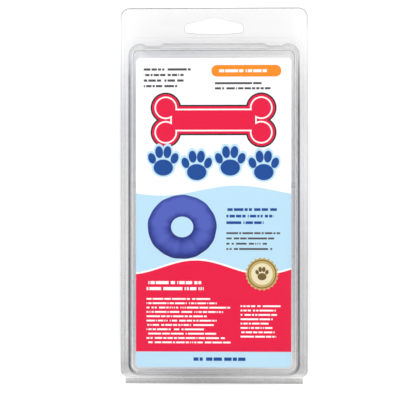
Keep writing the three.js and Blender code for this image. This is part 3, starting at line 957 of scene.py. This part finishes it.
def printed_card():
    """Coated white board with a generic pet-wear design: a bone, paw prints, bands, a ring and a seal."""
    finish = Finish("coated_card_print")
    work = Print(finish, colour(254, 254, 254))
    crimson = colour(230, 0, 64)
    royal = colour(8, 72, 150)
    pale_blue = colour(188, 223, 242)
    white = colour(252, 252, 252)
    ink_grey = colour(78, 76, 82)
    old_gold = colour(112, 88, 40)

    # The head: a rounded orange tab with small print on it, and more below and beside it.
    work.fill(work.panel(23, 99.5, 24.5, 4.1, 4), colour(248, 140, 24))
    work.small_print(white, 4, 48, 101.3, 1, 3.6, 2.0, 3.1)
    work.small_print(ink_grey, 1, 44, 92.6, 2, 3.6, 1.5, 9.2)
    work.small_print(ink_grey, -49, -16, 102.5, 4, 3.9, 1.6, 5.4)

    # A big bone, with a white line inside its edge.
    knobs = [work.disc(x, y, 9.6, 9.6) for x in (-33.5, 33.5) for y in (73.6, 56.4)]
    bone = work.union(work.panel(0, 65, 32, 9.6, 4), *knobs)
    work.fill(bone - 1.1, colour(34, 30, 34))
    work.fill(bone, crimson)
    work.fill(abs(bone + 2.2) - 0.5, white)

    # A row of paw prints, every second one a little lower.
    pitch, scale = 23.5, 1.32
    across = work.x + 2 * pitch
    number = (across / pitch).maths("FLOOR")
    wander = 1.6 * (number * math.pi).maths("COSINE")
    place = Motif((across - number * pitch - pitch / 2) / scale, (work.y - 33.5 - wander) / scale)
    paw = place.paw((-2.6, 5.2, 4.3), (6.0, 2.3, 2.0, 2.9, 0.35), (2.2, 5.6, 2.1, 3.2, 0.1))
    row = work.mask(abs(work.x) - 2 * pitch)
    work.lay(work.mask(paw - 0.9) * row, pale_blue)
    work.lay(work.mask(paw) * row, royal)

    # The pale blue band, and the picture of a puffy ring on it.
    wave = 3.5 * (work.x / 17.0 + 0.6).maths("SINE")
    work.fill(work.y - 15.5 - wave, pale_blue)
    ring_mean, ring_half = 16.0, 8.2
    dx, dy = work.x + 22, work.y + 10
    distance = (dx * dx + dy * dy * 1.16) ** 0.5
    angle = dy.maths("ARCTAN2", dx)
    puffs = 0.5 * (angle * 9).maths("SINE") + 0.3 * (angle * 17 + 1.3).maths("SINE")
    from_middle = abs(distance - ring_mean) / ring_half
    shade = (1.05 - from_middle * from_middle * 0.75 + 0.10 * puffs + 0.012 * dy).clamped()
    blues = ((0.0, colour(22, 30, 88)), (0.55, colour(42, 56, 144)), (1.0, colour(80, 96, 186)))
    plush = finish.ramp(blues, shade + 0.10 * (finish.noise(900.0, 1.0) - 0.5))
    outer = work.mask(distance - ring_mean - ring_half - 0.25 * puffs)
    work.lay(outer * work.mask(ring_mean - ring_half - distance), plush)
    work.small_print(royal, 9, 45, 4.5, 3, 4.6, 1.9, 7.7)
    work.small_print(ink_grey, 9, 48, -12.5, 4, 3.7, 1.3, 2.2)

    # The crimson panel under a wave, its small print, and the pale strip at the foot.
    swell = work.y + 38.5 - 5.0 * (work.x / 15.0 + 2.4).maths("SINE")
    work.fill(swell - 1.3, white)
    work.fill(swell, crimson)
    work.small_print(white, -47, 3, -47, 2, 4.2, 2.1, 1.9)
    work.small_print(white, -47, 12, -59, 11, 3.05, 1.15, 6.3)
    work.small_print(white, 19, 48, -64, 8, 3.05, 1.15, 8.8)
    work.fill(work.y + 97.5, pale_blue)
    work.small_print(royal, -14, 40, -100.2, 1, 5.0, 2.4, 4.6)

    # A scalloped gold seal, with a small paw print in it.
    sx, sy = work.x - 34, work.y + 43
    reach = (sx * sx + sy * sy) ** 0.5
    scallop = 0.45 * (sy.maths("ARCTAN2", sx) * 22).maths("COSINE")
    work.fill(reach - 11.2 - scallop, colour(196, 170, 104))
    work.fill(abs(reach - 9.7) - 0.35, old_gold)
    work.fill(reach - 7.6, colour(232, 222, 186))
    seal = Motif(sx * 1.35, (sy + 0.2) * 1.35)
    work.fill(seal.paw((-2.2, 4.2, 3.4), (4.6, 2.0, 1.6, 2.3, 0.35), (1.7, 4.6, 1.7, 2.5, 0.1)), old_gold)

    # The back and the cut edges are bare grey board.
    printed = work.height.maths("GREATER_THAN", (card_high.z - PRINT_SKIN) * 1000)
    board = finish.over(colour(206, 203, 196), finish.noise(700.0, 3.0) * 0.5, colour(180, 176, 168))
    surface = {
        "Base Color": finish.over(board, printed, work.ink),
        "Roughness": 0.62 - 0.2 * printed + 0.06 * finish.noise(40.0, 3.0),
        "Specular IOR Level": 0.1,
        "Normal": finish.bump(0.12, 0.1 * MM, finish.noise(1500.0, 3.0)),
    }
    return finish.done(finish.body(surface))


def royal_plush():
    """Short-pile plush over a soft ring: deep blue, lighter where the pile catches the light."""
    finish = Finish("royal_blue_plush")
    facing = finish.facing(0.4)
    blotch = finish.noise(55.0, 4.0)
    pile = finish.noise(1500.0, 4.0, Roughness=0.7)
    swirl = finish.noise(160.0, 3.0)
    shade = (0.35 * blotch + 0.35 * pile + 0.32 * swirl + 0.3 * facing + 0.06).maths("MINIMUM", 1)
    blues = ((0.3, colour(20, 28, 92)), (0.62, colour(42, 58, 152)), (1.0, colour(98, 118, 210)))
    surface = {
        "Base Color": finish.ramp(blues, shade),
        "Roughness": 0.85 + 0.1 * blotch,
        "Sheen Weight": 0.3,
        "Sheen Roughness": 0.35,
        "Sheen Tint": colour(150, 168, 240),
        "Specular IOR Level": 0.2,
        "Normal": finish.bump(0.9, 0.7 * MM, pile + 0.6 * swirl),
    }
    return finish.done(finish.body(surface))


def studio_floor():
    """Plain white paper."""
    finish = Finish("white_paper_floor")
    surface = {
        "Base Color": (0.93, 0.93, 0.93, 1),
        "Roughness": 0.9,
        "Specular IOR Level": 0.0,
        "Emission Color": (1, 1, 1, 1),
        "Emission Strength": 0.22,
    }
    return finish.done(finish.body(surface))


def give(piece, material):
    """The piece takes this material alone."""
    piece.data.materials.clear()
    piece.data.materials.append(material)


give(clear_front, clear_plastic("clear_front_plastic", FRONT_FLANGE, FACE_HEIGHT, FRONT_WALL_VEIL, FRONT_SHADE_LINE))
give(clear_tray, clear_plastic("clear_tray_plastic", TRAY_FLANGE, RIM_HEIGHT, TRAY_WALL_VEIL, TRAY_SHADE_LINE))
cut_edge = cut_plastic()
edge_the_sheet(clear_front, cut_edge)
edge_the_sheet(clear_tray, cut_edge)


def insert_card():
    """The card: a thin board with round corners and eased edges."""
    middle = (card_low + card_high) / 2
    size = card_high - card_low
    card = rectangle(size.x, size.y, (middle.x, middle.y, card_low.z))
    card.name = "insert_card_board"
    card.data.name = card.name
    select_mesh()
    round_corners(CARD_CORNER, 8)
    select_mesh()
    bpy.ops.mesh.extrude_region_move(TRANSFORM_OT_translate={"value": (0, 0, size.z)})
    face_out()
    pick(
        card,
        "edges",
        lambda e: len(e.link_faces) == 2 and e.calc_face_angle() > SHARP and e.verts[0].co.z == e.verts[1].co.z,
    )
    bpy.ops.mesh.bevel(offset=CARD_EASE, segments=2, affect="EDGES")
    mode("OBJECT")
    smooth()
    return card


card = insert_card()
give(card, printed_card())
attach(card, "front")
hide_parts("insert_card")


def skin(mesh, rings):
    """Faces from each ring of points to the next, closed at both ends, and all of them turned outwards."""
    points = len(rings[0])
    for near, far in zip(rings, rings[1:]):
        for step in range(points):
            following = (step + 1) % points
            mesh.faces.new((near[step], near[following], far[following], far[step]))
    mesh.faces.new(rings[0])
    mesh.faces.new(reversed(rings[-1]))
    bmesh.ops.recalc_face_normals(mesh, faces=mesh.faces)


def tuck_at(along):
    """How far the seams draw the cloth in at a place along the band, from 0 to 1."""
    return max(
        share * (0.5 + 0.5 * math.cos(along * turns + drift * math.sin(along * slow_turns))) ** power
        for turns, drift, slow_turns, power, share in TUCK_WAVES
    )


def flattened(part):
    """A sine or cosine drawn out, so that an oval becomes fuller at its four sides."""
    return math.copysign(abs(part) ** (2 / SECTION_POWER), part)


def folded_collar():
    """A soft, let-down plush ring folded in half: two layers of one band, with seams at both its edges."""
    low, high = collar_low, collar_high
    half_layer = (high.z - low.z - COLLAR_LAYER_GAP) / 4
    fold_height = (low.z + high.z) / 2
    fold_radius = fold_height - low.z - half_layer
    fold_x = low.x + fold_radius + half_layer
    half_band = (high.x - fold_x - NECK_REACH) / 2
    middle_y = (low.y + high.y) / 2
    radius_x = NECK_REACH + half_band
    radius_y = (high.y - low.y) / 2 - half_band

    def layer():
        """Place, outward direction and size along one layer, from its closed tip to the fold."""
        rows = [((fold_x - part * COLLAR_TIP, middle_y - radius_y), -math.pi / 2, size) for part, size in TIP_SIZES]
        for step in range(RING_STATIONS + 1):
            angle = math.pi * (step / RING_STATIONS - 0.5)
            place = (fold_x + radius_x * math.cos(angle), middle_y + radius_y * math.sin(angle))
            rows.append((place, math.atan2(math.sin(angle) / radius_y, math.cos(angle) / radius_x), 1.0))
        return rows

    def stations():
        """Centre, outward direction, upward direction and size: up the lower layer, over the fold, and back."""
        for place, outward, size in layer():
            yield Vector((*place, fold_height - fold_radius)), outward, Vector((0, 0, 1)), size
        for step in range(1, FOLD_STATIONS):
            turn = math.pi * step / FOLD_STATIONS
            across, up = math.sin(turn), math.cos(turn)
            centre = (fold_x - fold_radius * across, middle_y + radius_y, fold_height - fold_radius * up)
            yield Vector(centre), math.pi / 2, Vector((across, 0, up)), 1.0
        for place, outward, size in reversed(layer()):
            yield Vector((*place, fold_height + fold_radius)), outward, Vector((0, 0, -1)), size

    def section(centre, outward, up, size, along):
        """One flattened oval across the band, with a little unevenness for the cloth to fold along."""
        across = Vector((math.cos(outward), math.sin(outward), 0))
        tuck = tuck_at(along)
        reach = size * (half_band - SEAM_INSET * (1 + SEAM_TUCK * tuck))
        points = []
        for step in range(SECTION_POINTS):
            angle = 2 * math.pi * step / SECTION_POINTS
            wide, tall = flattened(math.cos(angle)), flattened(math.sin(angle))
            soft = sum(s * math.sin(along * turns + lean * wide + start) for turns, lean, start, s in FOLD_WAVES)
            folds = FOLD_DEPTH * (FOLD_MIDDLE + soft) * (1 - FOLD_AT_SEAM * wide**4)
            slack = 1 - TUCK_DEPTH * tuck * wide**2 - folds
            points.append(centre + across * (reach * wide) + up * (size * (half_layer - COLLAR_SLACK) * tall * slack))
        return points

    mesh = bmesh.new()
    rows = list(stations())
    rings = []
    for number, row in enumerate(rows):
        along = number / (len(rows) - 1) * 2
        rings.append([mesh.verts.new(point) for point in section(*row, along)])
    skin(mesh, rings)
    data = bpy.data.meshes.new("plush_collar")
    mesh.to_mesh(data)
    mesh.free()
    collar = bpy.data.objects.new("plush_collar", data)
    bpy.context.collection.objects.link(collar)
    lower_rows = (len(rows) - FOLD_STATIONS + 1) // 2
    puff(collar, lower_rows * SECTION_POINTS, fold_height)
    for side in (0, SECTION_POINTS // 2):
        add_piping(collar, [collar.data.vertices[row * SECTION_POINTS + side].co.copy() for row in range(len(rows))])
    apply_modifier(collar, "SUBSURF", levels=1, render_levels=1)
    bpy.ops.object.shade_smooth()
    return collar


def add_piping(collar, path):
    """A thin round cord of the same plush along one seam."""
    mesh = bmesh.new()
    mesh.from_mesh(collar.data)
    turns = [2 * math.pi * step / PIPING_SIDES for step in range(PIPING_SIDES)]
    rings = []
    for number, point in enumerate(path):
        ahead = path[min(number + 1, len(path) - 1)] - path[max(number - 1, 0)]
        aside = ahead.cross(Vector((0, 0, 1))).normalized()
        over = aside.cross(ahead).normalized()
        spokes = [(aside * math.cos(turn) + over * math.sin(turn)) * PIPING_RADIUS for turn in turns]
        rings.append([mesh.verts.new(point + spoke) for spoke in spokes])
    skin(mesh, rings)
    mesh.to_mesh(collar.data)
    mesh.free()


def puff(collar, layer_points, fold_height):
    """Lets the cover, cut a little too large for its air, buckle between its two held seams.
    No point moves further than its slack, and each layer stays on its own side of the fold's middle."""
    start = [vertex.co.copy() for vertex in collar.data.vertices]
    seams = [n for n in range(len(start)) if n % (SECTION_POINTS // 2) == 0]
    collar.vertex_groups.new(name="seams").add(seams, 1.0, "REPLACE")
    cloth = collar.modifiers.new("Cloth", "CLOTH")
    for setting, value in (PUFF_CLOTH | PUFF_AIR).items():
        setattr(cloth.settings, setting, value)
    cloth.settings.effector_weights.gravity = 0
    cloth.collision_settings.use_collision = False
    scene = bpy.context.scene
    cloth.point_cache.frame_start, cloth.point_cache.frame_end = 1, PUFF_FRAMES
    for number in range(1, PUFF_FRAMES + 1):
        scene.frame_set(number)
    settled = collar.evaluated_get(bpy.context.evaluated_depsgraph_get()).to_mesh()
    moved = [vertex.co.copy() for vertex in settled.vertices]
    collar.modifiers.remove(cloth)
    scene.frame_set(1)
    for number, vertex in enumerate(collar.data.vertices):
        step = moved[number] - start[number]
        if step.length > COLLAR_SLACK:
            step = step * (COLLAR_SLACK / step.length)
        place = start[number] + step
        place.z = min(max(place.z, collar_low.z + MM / 10), collar_high.z - MM / 10)
        if number < layer_points:
            place.z = min(place.z, fold_height - COLLAR_LAYER_GAP / 3)
        elif number >= len(start) - layer_points:
            place.z = max(place.z, fold_height + COLLAR_LAYER_GAP / 3)
        vertex.co = place


collar = folded_collar()
give(collar, royal_plush())
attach(collar, "tray")
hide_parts("folded_collar")


def soft_light(name, place, size, power):
    """A large soft lamp that looks at the middle of the pack."""
    select_none()
    bpy.ops.object.light_add(type="AREA", location=place)
    lamp = bpy.context.object
    lamp.name = name
    lamp.data.shape = "RECTANGLE"
    lamp.data.size, lamp.data.size_y = size
    lamp.data.energy = power
    lamp.rotation_euler = (Vector((0, 0, 15 * MM)) - Vector(place)).to_track_quat("-Z", "Y").to_euler()


def studio():
    """A white floor, four soft lamps round the pack, a plain sky, and the camera above the face."""
    select_none()
    bpy.ops.mesh.primitive_plane_add(size=8, location=(0, 0, -0.2 * MM))
    floor = bpy.context.object
    floor.name = "studio_floor"
    settle()
    give(floor, studio_floor())
    for lamp in LAMPS:
        soft_light(*lamp)

    world = bpy.data.worlds.new("plain_sky")
    bpy.context.scene.world = world
    world.use_nodes = True
    sky = world.node_tree.nodes["Background"]
    sky.inputs["Color"].default_value = (1, 1, 1, 1)
    sky.inputs["Strength"].default_value = SKY_STRENGTH

    back = Vector((math.sin(CAMERA_LEAN), 0, math.cos(CAMERA_LEAN)))
    bpy.ops.object.camera_add(location=AIM + CAMERA_DISTANCE * back, rotation=(0, CAMERA_LEAN, 0))
    camera = bpy.context.object
    camera.data.sensor_width = SENSOR_WIDTH
    camera.data.lens = SENSOR_WIDTH * CAMERA_DISTANCE / FRAME_WIDTH
    bpy.context.scene.camera = camera
    bpy.context.scene.view_settings.view_transform = "Standard"
    bpy.context.scene.cycles.transparent_max_bounces = 32


studio()
